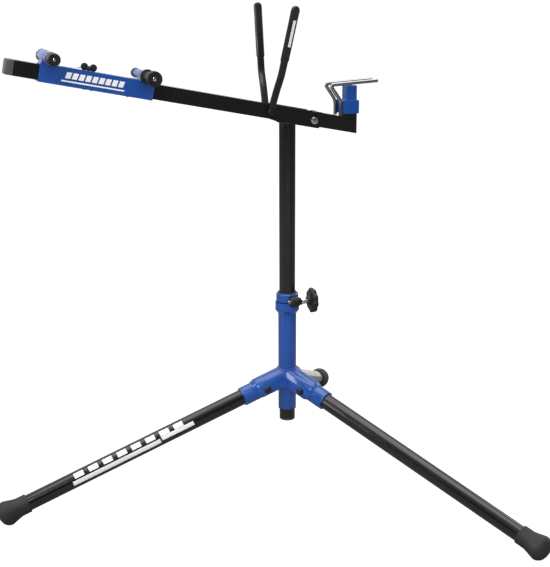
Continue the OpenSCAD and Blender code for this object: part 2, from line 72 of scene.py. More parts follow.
fold, pad = joint_at["leg_fold_left"], pad_at["foot_left_pad"]
LEG_SLOPE = atan((fold.z - FOOT_Z) / (from_post(pad) - from_post(fold)))
LEG_LENGTH = from_post(pad) / cos(LEG_SLOPE)
HUB_Z = fold.z + from_post(fold) * tan(LEG_SLOPE)
LEG_ANGLES = {side: atan2(pad_at[f"foot_{side}_pad"].y - POST_Y, pad_at[f"foot_{side}_pad"].x - POST_X)
              for side in ("left", "right", "rear")}
PIVOT_T = (joint_at["beam_fold"].x - POST_X) / cos(BEAM_TILT) / MM

TO_X = Matrix.Rotation(pi / 2, 4, "Y")
TO_Y = Matrix.Rotation(-pi / 2, 4, "X")


def at(x, y, z):
    return Matrix.Translation((x * MM, y * MM, z * MM))


POST = Matrix.Translation((POST_X, POST_Y, 0))
BEAM = Matrix.Translation((POST_X, POST_Y, BEAM_Z)) @ Matrix.Rotation(BEAM_TILT, 4, "Y")
GUIDE = BEAM @ at(PIVOT_T, 0, 0) @ Matrix.Rotation(GUIDE_LEAN - BEAM_TILT, 4, "Y")
FRONT_AXLE = BEAM @ at(-513, 0, 30.4)
REAR_AXLE = BEAM @ at(-318, 0, 27.4)
WING = BEAM @ at(-429, 0, 18.3)
PIN = BEAM @ at(55, 0, -3)
CLAMP = POST @ at(0, -29, 430.5)


def leg_frame(side):
    """X runs down the leg from the hub, Z is square to it and up."""
    turn = Matrix.Rotation(LEG_ANGLES[side], 4, "Z")
    return POST @ turn @ Matrix.Translation((0, 0, HUB_Z)) @ Matrix.Rotation(LEG_SLOPE, 4, "Y")


# ---------------------------------------------------------------- materials
def new_material(name):
    """A node material with its nodes and links."""
    m = bpy.data.materials.new(name)
    m.use_nodes = True
    return m, m.node_tree.nodes, m.node_tree.links


def noise(ns, ln, coords, scale, detail=3.0, rough=0.5):
    """Soft noise in 0 to 1."""
    n = ns.new("ShaderNodeTexNoise")
    n.inputs["Scale"].default_value = scale
    n.inputs["Detail"].default_value = detail
    n.inputs["Roughness"].default_value = rough
    ln.new(coords, n.inputs["Vector"])
    return n.outputs["Fac"]


def spread(ns, ln, value, low, high, out_low, out_high):
    """A value's range low to high carried to out_low to out_high, held at the ends."""
    n = ns.new("ShaderNodeMapRange")
    n.inputs["From Min"].default_value = low
    n.inputs["From Max"].default_value = high
    n.inputs["To Min"].default_value = out_low
    n.inputs["To Max"].default_value = out_high
    ln.new(value, n.inputs["Value"])
    return n.outputs["Result"]


def times(ns, ln, a, b):
    """Product of a socket and a socket or a number."""
    n = ns.new("ShaderNodeMath")
    n.operation = "MULTIPLY"
    ln.new(a, n.inputs[0])
    if isinstance(b, float):
        n.inputs[1].default_value = b
    else:
        ln.new(b, n.inputs[1])
    return n.outputs[0]


def mixed(ns, ln, fac, a, b):
    """Colour a turning to b as fac goes from 0 to 1; either is a socket or a tuple."""
    n = ns.new("ShaderNodeMix")
    n.data_type = "RGBA"
    ln.new(fac, n.inputs["Factor"])
    for socket, v in ((n.inputs[6], a), (n.inputs[7], b)):
        if isinstance(v, tuple):
            socket.default_value = (*v, 1)
        else:
            ln.new(v, socket)
    return n.outputs[2]


def edge_mask(ns, ln, radius, sharp):
    """High on edges and corners, low on flats, found by rounding the normal."""
    bevel = ns.new("ShaderNodeBevel")
    bevel.samples = 4
    bevel.inputs["Radius"].default_value = radius
    geo = ns.new("ShaderNodeNewGeometry")
    dot = ns.new("ShaderNodeVectorMath")
    dot.operation = "DOT_PRODUCT"
    ln.new(bevel.outputs[0], dot.inputs[0])
    ln.new(geo.outputs["Normal"], dot.inputs[1])
    return spread(ns, ln, dot.outputs["Value"], 1.0, sharp, 0.0, 1.0)


def surface(name, base, vary, edge_sheen_and_wear, rough, metallic=0.0, coat=0.0, grain=900.0, bump=0.02,
            bump_scale=60.0, edge_sheen_and_wear_amount=0.6, specular=0.5, coat_rough=0.08, edge=0.0009):
    """One finish: colour drift, edges tinted in patches (a painted highlight on the paints and welds, wear
    on the rest), uneven gloss and a fine surface texture.
    """
    m, ns, ln = new_material(name)
    shader = ns["Principled BSDF"]
    coords = ns.new("ShaderNodeTexCoord").outputs["Object"]
    drift = noise(ns, ln, coords, 9.0, 4.0, 0.6)
    colour = mixed(ns, ln, spread(ns, ln, drift, 0.35, 0.65, 0.0, 1.0), base, vary)
    patch = noise(ns, ln, coords, bump_scale, 5.0, 0.7)
    # edges take the edge colour in patches: a painted highlight where it is lighter on the paints and welds,
    # wear on the other finishes
    sheen_and_wear_patches = spread(ns, ln, patch, 0.45, 0.7, 0.0, edge_sheen_and_wear_amount)
    sheen_and_wear_mask = times(ns, ln, edge_mask(ns, ln, edge, 0.86), sheen_and_wear_patches)
    ln.new(mixed(ns, ln, sheen_and_wear_mask, colour, edge_sheen_and_wear), shader.inputs["Base Color"])
    smudge = noise(ns, ln, coords, 24.0, 6.0, 0.65)
    ln.new(spread(ns, ln, smudge, 0.3, 0.7, rough * 0.8, rough * 1.3), shader.inputs["Roughness"])
    shader.inputs["Metallic"].default_value = metallic
    shader.inputs["Specular IOR Level"].default_value = specular
    shader.inputs["Coat Weight"].default_value = coat
    shader.inputs["Coat Roughness"].default_value = coat_rough
    fine = ns.new("ShaderNodeBump")
    fine.inputs["Strength"].default_value = bump
    fine.inputs["Distance"].default_value = 0.0006
    ln.new(noise(ns, ln, coords, grain, 3.0, 0.5), fine.inputs["Height"])
    ln.new(fine.outputs["Normal"], shader.inputs["Normal"])
    return m


# the third colour of each finish is its edge colour: a painted highlight on the blue and black paint, wear
# on the other finishes
MATERIALS = {
    "blue_paint": surface("blue_enamel", (0.010, 0.066, 0.300), (0.007, 0.054, 0.255),
                          (0.16, 0.25, 0.46), 0.22, coat=0.3, grain=420, bump=0.03, edge_sheen_and_wear_amount=0.35),
    "black_paint": surface("black_enamel", (0.0045, 0.0043, 0.0042), (0.0065, 0.006, 0.0057),
                           (0.10, 0.10, 0.10), 0.17, coat=0.2, grain=420, bump=0.03, edge_sheen_and_wear_amount=0.35),
    "black_plastic": surface("moulded_black", (0.008, 0.0078, 0.0075), (0.013, 0.012, 0.0115),
                             (0.05, 0.05, 0.05), 0.42, grain=1500, bump=0.14, edge_sheen_and_wear_amount=0.4,
                             specular=0.45),
    "black_rubber": surface("grey_rubber", (0.015, 0.014, 0.013), (0.022, 0.0205, 0.019),
                            (0.07, 0.067, 0.064), 0.56, grain=1100, bump=0.22, edge_sheen_and_wear_amount=0.5,
                            specular=0.4),
    "chrome": surface("bright_chrome", (0.80, 0.81, 0.82), (0.72, 0.73, 0.75), (0.62, 0.62, 0.62),
                      0.11, metallic=1.0, grain=700, bump=0.015, edge_sheen_and_wear_amount=0.25),
    "zinc_steel": surface("zinc_plate", (0.60, 0.61, 0.62), (0.50, 0.51, 0.53), (0.42, 0.41, 0.40),
                          0.30, metallic=1.0, grain=900, bump=0.06, edge_sheen_and_wear_amount=0.4),
    "nylon": surface("dark_nylon", (0.020, 0.0195, 0.019), (0.028, 0.027, 0.026), (0.08, 0.08, 0.08),
                     0.42, grain=1000, bump=0.08, edge_sheen_and_wear_amount=0.2),
}
DARK_STEEL = surface("blackened_steel", (0.020, 0.019, 0.018), (0.030, 0.028, 0.027), (0.16, 0.15, 0.15),
                     0.34, metallic=0.6, grain=800, bump=0.08, edge_sheen_and_wear_amount=0.4)
# a darker copy of the chrome for the cradle rods: painted shade standing in for the dark surroundings that
# they reflect
DARKENED_ROD_CHROME = surface("rod_chrome_darkened", (0.40, 0.41, 0.42), (0.32, 0.33, 0.34), (0.5, 0.5, 0.5),
                       0.09, metallic=1.0, grain=700, bump=0.015, edge_sheen_and_wear_amount=0.2)
SLEEVE_BLACK = surface("gloss_sleeve", (0.007, 0.0066, 0.0062), (0.010, 0.0095, 0.009), (0.05, 0.05, 0.05),
                       0.27, coat=0.2, grain=700, bump=0.05, edge_sheen_and_wear_amount=0.3)
CAP_GREY = surface("grey_cap_plastic", (0.060, 0.053, 0.050), (0.075, 0.067, 0.062), (0.13, 0.12, 0.11),
                   0.42, grain=1300, bump=0.12, edge_sheen_and_wear_amount=0.3)
LABEL = surface("white_film", (0.80, 0.80, 0.80), (0.73, 0.73, 0.74), (0.60, 0.60, 0.60),
                0.30, coat=0.3, grain=500, bump=0.03, edge_sheen_and_wear_amount=0.2)
# the welds' lighter blue edge colour is a painted highlight
WELD_BLUE = surface("blue_weld", (0.012, 0.066, 0.33), (0.009, 0.052, 0.28), (0.26, 0.36, 0.55),
                    0.22, coat=0.5, grain=260, bump=0.35, edge_sheen_and_wear_amount=0.3)
WELD_BLACK = surface("black_weld", (0.007, 0.007, 0.007), (0.010, 0.009, 0.009), (0.08, 0.08, 0.08),
                     0.22, coat=0.4, grain=260, bump=0.35, edge_sheen_and_wear_amount=0.3)


# ---------------------------------------------------------------- mesh building
AXIS_R = 0.02       # smallest ring on a turned part's axis, mm
FILM = 0.16         # thickness of the printed films, mm


def add_piece(name, body, slot, verts, faces, place=Matrix.Identity(4), material=None, sharp=35.0,
              stands_for=()):
    """A mesh piece in the row frame, smooth except over sharp edges, riding on a body."""
    mesh = bpy.data.meshes.new(name)
    mesh.from_pydata([tuple(place @ Vector(v)) for v in verts], [], faces)
    mesh.validate()
    mesh.shade_smooth()
    mesh.set_sharp_from_angle(angle=radians(sharp))
    mesh.materials.append(material or MATERIALS[slot])
    o = bpy.data.objects.new(name, mesh)
    bpy.context.scene.collection.objects.link(o)
    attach(o, body)
    if stands_for:
        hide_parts(*stands_for)
    return o


def rings_mesh(rings, closed=False):
    """Verts and faces of a skin through equal rings of points, capped at both ends unless closed."""
    count = len(rings[0])
    verts = [p for ring in rings for p in ring]
    faces = []
    spans = len(rings) if closed else len(rings) - 1
    for i in range(spans):
        a, b = i * count, (i + 1) % len(rings) * count
        for k in range(count):
            n = (k + 1) % count
            faces.append((a + k, a + n, b + n, b + k))
    if not closed:
        faces.append(tuple(reversed(range(count))))
        faces.append(tuple(range(len(verts) - count, len(verts))))
    return verts, faces


def join_parts(parts):
    """Several (verts, faces) pairs as one."""
    verts, faces = [], []
    for v, f in parts:
        base = len(verts)
        verts += v
        faces += [tuple(i + base for i in face) for face in f]
    return verts, faces


def placed(part, place):
    """The same (verts, faces) pair moved by a matrix."""
    return [place @ Vector(v) for v in part[0]], part[1]


def rounded(points, radius, steps=4):
    """The open outline with each inner corner drawn as a small curve."""
    out = [Vector(points[0])]
    for a, b, c in zip(points, points[1:], points[2:]):
        a, b, c = Vector(a), Vector(b), Vector(c)
        back = min(radius, (a - b).length * 0.49)
        on = min(radius, (c - b).length * 0.49)
        p, q = b + (a - b).normalized() * back, b + (c - b).normalized() * on
        for i in range(steps + 1):
            t = i / steps
            out.append(p * (1 - t) ** 2 + b * (2 * t * (1 - t)) + q * t ** 2)
    out.append(Vector(points[-1]))
    return out


def lobed(profile, count, lobes=0, power=1.0):
    """A part about local Z from (r, swell, z) points in mm; the swell is highest on the lobes."""
    rings = []
    for r, swell, z in profile:
        ring = []
        for k in range(count):
            a = 2 * pi * k / count
            reach = max(r, AXIS_R) + swell * (0.5 + 0.5 * cos(lobes * a)) ** power
            ring.append(Vector((reach * cos(a), reach * sin(a), z)) * MM)
        rings.append(ring)
    return rings_mesh(rings)


def turned(profile, radius=0.0, count=48):
    """A turned part about local Z from (r, z) points in mm, its inner corners rounded."""
    line = rounded(profile, radius) if radius else profile
    return lobed([(r, 0.0, z) for r, z in line], count)


def hexagon(across, z0, z1, chamfer=0.8):
    """A hexagonal head about local Z, turned down a little at its two faces; size in mm."""
    rings = []
    for z, inset in ((z0, chamfer), (z0 + chamfer * 0.6, 0), (z1 - chamfer * 0.6, 0), (z1, chamfer)):
        r = across - inset
        rings.append([Vector((r * cos(k * pi / 3), r * sin(k * pi / 3), z)) * MM for k in range(6)])
    return rings_mesh(rings)


def threaded(r, z0, z1, pitch=1.25, depth=0.45, count=24):
    """A threaded bar about local Z, in mm, with a single-start helix."""
    rings, steps = [], int((z1 - z0) / pitch * 6)
    for i in range(steps + 1):
        z = z0 + (z1 - z0) * i / steps
        ring = []
        for k in range(count):
            phase = (z / pitch + k / count) % 1.0
            reach = r - depth * abs(2 * phase - 1)
            ring.append(Vector((reach * cos(2 * pi * k / count), reach * sin(2 * pi * k / count), z)) * MM)
        rings.append(ring)
    return rings_mesh(rings)


def swept(path, section, swell=None, closed=False, up=Vector((0, 1, 0))):
    """A section (list of 2D mm points) carried along a path of mm points; swell scales it per point."""
    pts = [Vector(p) for p in path]
    rings, side = [], None
    for i, p in enumerate(pts):
        if closed:
            d = (pts[(i + 1) % len(pts)] - pts[i - 1]).normalized()
        else:
            d = (pts[min(i + 1, len(pts) - 1)] - pts[max(i - 1, 0)]).normalized()
        side = (up - d * up.dot(d)).normalized() if side is None else (side - d * side.dot(d)).normalized()
        other = d.cross(side)
        k = swell(i) if swell else (1.0, 1.0)
        rings.append([(p + side * (u * k[0]) + other * (v * k[1])) * MM for u, v in section])
    return rings_mesh(rings, closed)


def circle(r, count=16):
    """Round section of radius r mm."""
    return [(r * cos(2 * pi * k / count), r * sin(2 * pi * k / count)) for k in range(count)]


def stadium(width, thick, count=12):
    """Flat-sided oval: width along the first axis."""
    r, half = thick / 2, (width - thick) / 2
    out = []
    for side, start in ((1, -pi / 2), (-1, pi / 2)):
        for i in range(count + 1):
            a = start + pi * i / count
            out.append((side * half + r * cos(a), r * sin(a)))
    return out


def soft_box(w, h, r, count=4):
    """Rectangle w by h with round corners."""
    out = []
    for cx, cy, start in ((1, 1, 0), (-1, 1, pi / 2), (-1, -1, pi), (1, -1, 3 * pi / 2)):
        for i in range(count + 1):
            a = start + pi / 2 * i / count
            out.append((cx * (w / 2 - r) + r * cos(a), cy * (h / 2 - r) + r * sin(a)))
    return out


def slab(corners, depth):
    """A thin plate from four corners in mm and the vector to its other face."""
    verts = [(Vector(c) + d) * MM for d in (Vector((0, 0, 0)), depth) for c in corners]
    return verts, [(0, 1, 2, 3), (7, 6, 5, 4), (0, 4, 5, 1), (1, 5, 6, 2), (2, 6, 7, 3), (3, 7, 4, 0)]


def dense(path, step):
    """The same polyline with points about every step mm."""
    out = [Vector(path[0])]
    for a, b in zip(path, path[1:]):
        a, b = Vector(a), Vector(b)
        n = max(1, int((b - a).length / step))
        out += [a + (b - a) * (i / n) for i in range(1, n + 1)]
    return out


def bead(name, body, slot, material, path, r, place, pitch=3.2, closed=False):
    """A weld bead: overlapping puddles along a line."""
    line = dense(path, 0.8)
    if closed:
        line = line[:-1]
    run = [0.0]
    for a, b in zip(line, line[1:]):
        run.append(run[-1] + (b - a).length)

    def swell(i):
        k = 1.0 + 0.16 * sin(2 * pi * run[i] / pitch) + 0.07 * sin(run[i] * 0.9 + r)
        if not closed:
            k *= min(1.0, 0.45 + min(run[i], run[-1] - run[i]) / (2.5 * r))
        return (k, k)

    verts, faces = swept(line, circle(r, 10), swell, closed, Vector((0.3, 0.2, 1)))
    return add_piece(name, body, slot, verts, faces, place, material, 60)


def soften(name, width, angle=32.0):
    """Rounds a CAD node's edges with modifiers, leaving its mesh alone."""
    o = nodes[name]
    w = o.modifiers.new("weld", "WELD")
    w.merge_threshold = 0.00002
    d = o.modifiers.new("flats", "DECIMATE")
    d.decimate_type = "DISSOLVE"
    d.angle_limit = radians(0.4)
    b = o.modifiers.new("edges", "BEVEL")
    b.width = width * MM
    b.segments = 3
    b.limit_method = "ANGLE"
    b.angle_limit = radians(angle)
    b.use_clamp_overlap = True
    b.harden_normals = True
    return o


# ---------------------------------------------------------------- CAD nodes that stay
for part in frame["record"]["subparts"]:
    o = nodes[part["node"]]
    o.data.materials.clear()
    o.data.materials.append(MATERIALS[part["material_slot"]])
nodes["beam_end_cap"].data.materials[0] = CAP_GREY
nodes["post_end_cap"].data.materials[0] = CAP_GREY

# edge radius of the CAD nodes that are seen as they are, mm
ROUNDING = {"beam_tube": 1.7, "beam_end_cap": 2.0, "carriage_sleeve": 1.3, "cradle_sleeve": 1.6,
            "cradle_riser": 1.8, "saddle": 0.7, "clamp_collar": 0.7, "clamp_boss": 0.8,
            "front_mount_block": 0.8, "rear_mount_block": 0.8, "front_axle_tube": 0.5, "rear_axle_tube": 0.5,
            "yoke_left": 0.7, "yoke_right": 0.7, "yoke_rear": 0.7, "leg_socket_left": 0.6,
            "leg_socket_right": 0.6, "leg_socket_rear": 0.6, "upper_bush": 0.4, "lower_bush": 0.3,
            "hub_tube": 0.3}
for name, width in ROUNDING.items():
    soften(name, width)

# ---------------------------------------------------------------- tripod: bolts, welds, clamp
dome = [(0, -6.3), (4.2, -6.0), (6.6, -4.9), (7.7, -3.0), (8.0, 0), (8.0, 0.2), (0, 0.2)]
caps = []
for side in LEG_ANGLES:
    for y, turn in ((-HOOD_R, 0), (HOOD_R, pi)):
        place = leg_frame(side) @ at(60, y, 0) @ Matrix.Rotation(turn, 4, "X") @ TO_Y
        caps.append(placed(turned(dome, 0.8, 36), place))
v, f = join_parts(caps)
add_piece("bolt_cap_domes", "tripod", "black_plastic", v, f, stands_for=("bolt_caps",))


def hub_seam(r):
    """Line where the three hoods meet the hub tube, as points in mm about the post."""
    out = []
    for base in LEG_ANGLES.values():
        for k in range(24):
            phi = radians(-60 + 120 * k / 24)
            x, y = r * cos(phi), r * sin(phi)
            lift = sqrt(HOOD_R ** 2 - y * y)
            z = HUB_Z / MM - tan(LEG_SLOPE) * (x - lift * sin(LEG_SLOPE)) + lift * cos(LEG_SLOPE)
            out.append((r * cos(base + phi), r * sin(base + phi), z))
    return out + out[:1]


bead("hub_weld", "tripod", "blue_paint", WELD_BLUE, hub_seam(20.6), 1.9, POST, 3.4, closed=True)
for side in LEG_ANGLES:
    seam = LEG_ANGLES[side] + radians(60)
    line = []
    for i in range(9):
        # the plane between two neighbouring hoods: y = x tan 60 in either hood's frame
        y = max(HOOD_R * sin(i * pi / 20), 18.2)
        z_leg = sqrt(HOOD_R ** 2 - y * y) - i * 2.6
        y = HOOD_R if z_leg < 0 else sqrt(HOOD_R ** 2 - z_leg ** 2)
        x = y / tan(radians(60))
        s = (x - z_leg * sin(LEG_SLOPE)) / cos(LEG_SLOPE)
        z = HUB_Z / MM - s * sin(LEG_SLOPE) + z_leg * cos(LEG_SLOPE)
        reach = sqrt(x * x + y * y)
        line.append((reach * cos(seam), reach * sin(seam), z))
    bead(f"hood_weld_{side}", "tripod", "blue_paint", WELD_BLUE, line, 1.7, POST, 3.2)

collar_seam = [(21.2 * cos(2 * pi * k / 60), 21.2 * sin(2 * pi * k / 60), 401.6) for k in range(61)]
bead("collar_weld", "tripod", "blue_paint", WELD_BLUE, collar_seam, 0.9, POST, 2.6, closed=True)

stud = [placed(threaded(4, -8.8, 48), TO_X),
        placed(turned([(4.1, 20.4), (8, 20.4), (8, 22.4), (4.1, 22.4)], 0.3), TO_X),
        placed(hexagon(7.5, 22.5, 28, 0.9), TO_X),
        placed(turned([(4.1, 28.2), (6.6, 28.2), (6.6, 30.2), (4.1, 30.2)], 0.3), TO_X)]
v, f = join_parts(stud)
add_piece("clamp_stud_threaded", "clamp_screw", "chrome", v, f, CLAMP, stands_for=("clamp_stud",))

grip = [(0, 0.6, 36), (9.6, 0, 35.6), (9.9, 0, 36.5), (10.2, 0, 41.6), (12, 0.3, 42.6), (23.0, 2.6, 42.7),
        (24.4, 3.4, 44.6), (24.5, 3.5, 48.0), (24.2, 3.3, 51.4), (22.6, 2.4, 53.1), (20, 1.0, 53.5),
        (12, 0.1, 53.4), (10.4, 0, 53.3), (9.4, 0, 52.6), (9.1, 0, 50.6), (0, 0, 50.4)]
v, f = lobed(grip, 144, 9, 0.7)
add_piece("clamp_knob_lobed", "clamp_screw", "black_plastic", v, f, CLAMP @ TO_X, sharp=50,
          stands_for=("clamp_knob",))
add_piece("clamp_knob_screw", "clamp_screw", "zinc_steel",
          *turned([(0, 50.2), (5.4, 50.2), (5.4, 51.2), (4.6, 51.9), (0, 52.1)], 0.4), CLAMP @ TO_X)

# ---------------------------------------------------------------- legs: boots and bands
# radius, and place along the leg from the dome's centre
BOOT = [(17.6, -44), (18.6, -44.3), (20.2, -44), (20.5, -42.8), (20.5, -38.6), (20.2, -37.8), (20.2, -36.4),
        (20.5, -35.6), (20.5, -24), (21.0, -20), (22.6, -13), (24.6, -6), (26.2, 0), (27.0, 4), (26.9, 7),
        (25.7, 11), (24.0, 14), (21.4, 17.6), (17.0, 20.8), (11.0, 23.2), (5.0, 24.4), (0, 24.7)]
LIP = [(17.5, 112.2), (21.0, 112.2), (21.35, 112.8), (21.35, 114.4), (20.8, 115.2), (17.5, 115.2)]
for side in LEG_ANGLES:
    v, f = turned([(r, LEG_LENGTH / MM + s) for r, s in BOOT], 1.0, 56)
    place = leg_frame(side) @ TO_X
    flat = []
    for p in v:
        q = place @ p
        flat.append(Vector((q.x, q.y, max(q.z, 0.0))))
    add_piece(f"boot_{side}", f"leg_{side}", "black_rubber", flat, f, sharp=50, stands_for=(f"foot_{side}",))
    add_piece(f"socket_lip_{side}", f"leg_{side}", "blue_paint", *turned(LIP, 0.35, 56), place)


def leg_band(name, side, s0, s1, a0, a1, material=LABEL, slot="black_paint"):
    """A thin film on a leg tube from s0 to s1 mm along it, between two angles round it."""
    place = leg_frame(side) @ TO_X
    rows, cols = 8, 24
    verts, faces = [], []
    for r in (LEG_R + 0.06, LEG_R + 0.2):
        for i in range(rows + 1):
            for k in range(cols + 1):
                a = radians(a0 + (a1 - a0) * k / cols)
                verts.append(Vector((r * cos(a), r * sin(a), s0 + (s1 - s0) * i / rows)) * MM)
    size, wide = (rows + 1) * (cols + 1), cols + 1
    for i in range(rows):
        for k in range(cols):
            a = i * wide + k
            faces.append((a + size, a + 1 + size, a + wide + 1 + size, a + wide + size))
            faces.append((a, a + wide, a + wide + 1, a + 1))
    for i in range(rows):
        for k in (0, cols):
            a = i * wide + k
            faces.append((a, a + size, a + wide + size, a + wide))
    for k in range(cols):
        for i in (0, rows):
            a = i * wide + k
            faces.append((a, a + 1, a + 1 + size, a + size))
    return add_piece(name, f"leg_{side}", slot, verts, faces, place, material, 60)


# ---------------------------------------------------------------- post and beam
add_piece("post_cap_turned", "post", "black_plastic",
          *turned([(0, 0), (13, 0), (16.4, 0.6), (17.4, 2), (17.5, 5), (15.6, 5.1), (15.4, 18), (0, 18)],
                  0.8),
          POST @ at(0, 0, 149), CAP_GREY, stands_for=("post_end_cap",))
head = [placed(turned([(5.1, -21.3), (8.2, -21.3), (8.2, -20.4), (5.1, -20.4)], 0.2), TO_Y),
        placed(turned([(0, -27.0), (4.8, -27.0), (6.6, -26.2), (7.2, -25), (7.2, -23), (7.6, -22.4),
                       (7.6, -21.4), (0, -21.4)], 0.5), TO_Y),
        placed(turned([(0, -21.5), (5.0, -21.5), (5.0, 31), (0, 31)], 0.3), TO_Y)]
v, f = join_parts(head)
add_piece("pivot_bolt_domed", "post", "zinc_steel", v, f, BEAM @ at(PIVOT_T, 0, 0), DARK_STEEL,
          stands_for=("beam_bolt",))
nut = [placed(turned([(5.1, 22.1), (8, 22.1), (8, 23.3), (5.1, 23.3)], 0.2), TO_Y),
       placed(hexagon(8, 23.4, 29.8, 0.9), TO_Y)]
v, f = join_parts(nut)
add_piece("pivot_nut_hex", "post", "zinc_steel", v, f, BEAM @ at(PIVOT_T, 0, 0), stands_for=("beam_nut",))

saddle_seam = [(18.1 * cos(2 * pi * k / 48) / cos(BEAM_TILT), 18.1 * sin(2 * pi * k / 48), -18.5)
               for k in range(49)]
bead("saddle_weld", "post", "black_paint", WELD_BLACK, saddle_seam, 1.5,
     BEAM @ at(0.18 * tan(BEAM_TILT), 0, 0), 3.0, closed=True)

pin = [placed(turned([(0, -24.2), (4.0, -24.2), (4.0, 20.9), (3.4, 21.6), (0, 21.7)], 0.4), TO_Y),
       placed(turned([(0, -25.1), (5.4, -25.0), (6.8, -24.6), (7.0, -24.2), (6.9, -23.5), (6.0, -23.3),
                      (0, -23.3)], 0.3), TO_Y),
       placed(turned([(0, -20.7), (6.4, -20.7), (7.0, -20.3), (7.0, -19.4), (6.4, -19.0), (0, -19.0)],
                     0.3), TO_Y)]
v, f = join_parts(pin)
add_piece("lock_pin_turned", "lock_pin", "chrome", v, f, PIN, stands_for=("lock_pin",))
coil = []           # two turns of wire in the neck of the head
for k in range(81):
    a = 4 * pi * k / 80
    coil.append((5.25 * cos(a), -22.6 + 1.2 * k / 80, 5.25 * sin(a)))
v, f = swept(coil, circle(0.55, 10))
add_piece("lock_pin_split_ring", "lock_pin", "chrome", v, f, PIN, stands_for=("lock_pin_ring",))

# cap at the fork end: a plug with a rim and a slightly crowned face
cap = []
for x, w, r in ((-576.2, 30.0, 2.2), (-577.4, 30.0, 2.4), (-577.8, 29.3, 2.4), (-578.6, 30.0, 2.6),
                (-588.5, 29.9, 3.0), (-590.6, 29.2, 3.4), (-591.6, 27.4, 4.0), (-592.0, 24.0, 4.5)):
    cap.append([Vector((x, y, z)) * MM for y, z in soft_box(w, w, r, 5)])
v, f = rings_mesh(cap)
plug = [[Vector((x, y, z)) * MM for y, z in soft_box(26, 26, 1.5, 5)] for x in (-564, -576.4)]
v, f = join_parts([(v, f), rings_mesh(plug)])
add_piece("beam_cap_moulded", "beam", "black_plastic", v, f, BEAM, CAP_GREY, stands_for=("beam_end_cap",))

# ---------------------------------------------------------------- frame guides
EYE_Y = 20.9
ARM = [(EYE_Y, 0), (EYE_Y, 10), (40, 45), (61, 77), (113, 211)]       # y and height of the bar's line
ALONG = Vector((1, 0, 0))
for name, side in (("near", -1), ("far", 1)):
    line = rounded([Vector((0, y * side, z)) for y, z in ARM], 9.0, 5)
    line = dense([tuple(p) for p in line], 4.0)
    v, f = swept(line, soft_box(15, 5, 1.3, 3), up=ALONG)
    eye = turned([(5.1, -2.5), (6.9, -2.5), (7.5, -1.9), (7.5, 1.9), (6.9, 2.5), (5.1, 2.5)], 0.2, 40)
    eye = placed(eye, at(0, side * EYE_Y, 0) @ TO_Y)
    low = swept([(0, side * EYE_Y, -4.2), (0, side * EYE_Y, 0.4)], soft_box(10, 4.8, 1.2, 3), up=ALONG)
    v, f = join_parts([(v, f), eye, low])
    add_piece(f"guide_bar_{name}", f"guide_{name}", "black_paint", v, f, GUIDE,
              stands_for=(f"guide_arm_{name}",))
    a, b = [Vector((0, side * y, z)) for y, z in ARM[-2:]]
    d = (b - a).normalized()
    tip = b + d * 4
    rings = []
    for u in (118, 117.6, 116.6, 114, 60, 30, 12, 9, 7.2, 5.4, 3.8, 2.4, 1.2, 0.4, 0.02):
        wide = 9.0 if u > 9 else sqrt(max(81 - (9 - u) ** 2, 0.05))
        thick = 4.5 if u > 4.5 else 4.5 * sqrt(max(1 - (1 - u / 4.5) ** 2 * 0.9, 0.02))
        if u > 114:
            wide, thick = wide - (u - 114) * 0.28, thick - (u - 114) * 0.28
        swell = 0.16 * sin(u * 0.11)
        centre = tip - d * u
        out = Vector((0, d.z, -d.y))
        rings.append([(centre + ALONG * (x * (wide + swell) / 9.0) + out * (y * thick / 4.5)) * MM
                      for x, y in stadium(18, 9, 10)])
    v, f = rings_mesh(rings)
    add_piece(f"guide_sleeve_{name}", f"guide_{name}", "black_rubber", v, f, GUIDE, SLEEVE_BLACK, sharp=60,
              stands_for=(f"guide_grip_{name}",))

a, b = [Vector((0, -y, z)) for y, z in ARM[-2:]]
d = (b - a).normalized()
skin = Vector((0, -d.z, d.y))
corners = [b + d * (4 - u) + skin * 4.46 + Vector((x, 0, 0))
           for u, x in ((28, -1.4), (84, -1.4), (84, 4.3), (28, 4.3))]
v, f = slab(corners, skin * FILM)
add_piece("guide_strip_near", "guide_near", "black_rubber", v, f, GUIDE, LABEL, 60)

# ---------------------------------------------------------------- carriage
RIB = 0.35          # depth of the ribs on a clamp knob, mm


def knob_turned(name, body, radius, face, y1, place, neck, stands_for):
    """Ribbed knob with a recessed ring and a bright screw head in its outer face."""
    outline = [(0, face + 3.6), (radius * 0.30, face + 3.6), (radius * 0.30, face + 1.8),
               (radius * 0.52, face + 1.8), (radius * 0.54, face + 0.5), (radius * 0.60, face + 0.2),
               (radius * 0.74, face + 0.2), (radius * 0.76, face + 1.0), (radius * 0.84, face + 1.0),
               (radius * 0.86, face + 0.1), (radius - 1.4, face), (radius - 0.3, face + 1.0),
               (radius, face + 2.2), (radius, y1 - 6.5), (radius - 0.6, y1 - 5.2), (neck + 0.6, y1 - 4.6),
               (neck, y1 - 4), (neck, y1 - 0.5), (neck - 0.6, y1), (0, y1)]
    # the rim is ribbed by a negative swell
    v, f = placed(lobed([(r, -RIB if r == radius else 0.0, z) for r, z in outline], 160, 40), TO_Y)
    add_piece(name, body, "black_plastic", v, f, place, sharp=42, stands_for=stands_for)
    screw = [placed(turned([(0, face + 1.0), (radius * 0.16, face + 0.9), (radius * 0.25, face + 1.5),
                            (radius * 0.27, face + 3.8), (0, face + 3.8)], 0.3, 32), TO_Y),
             placed(hexagon(radius * 0.13, face + 0.7, face + 1.5, 0.2), TO_Y)]
    v, f = join_parts(screw)
    add_piece(name + "_screw", body, "chrome", v, f, place)


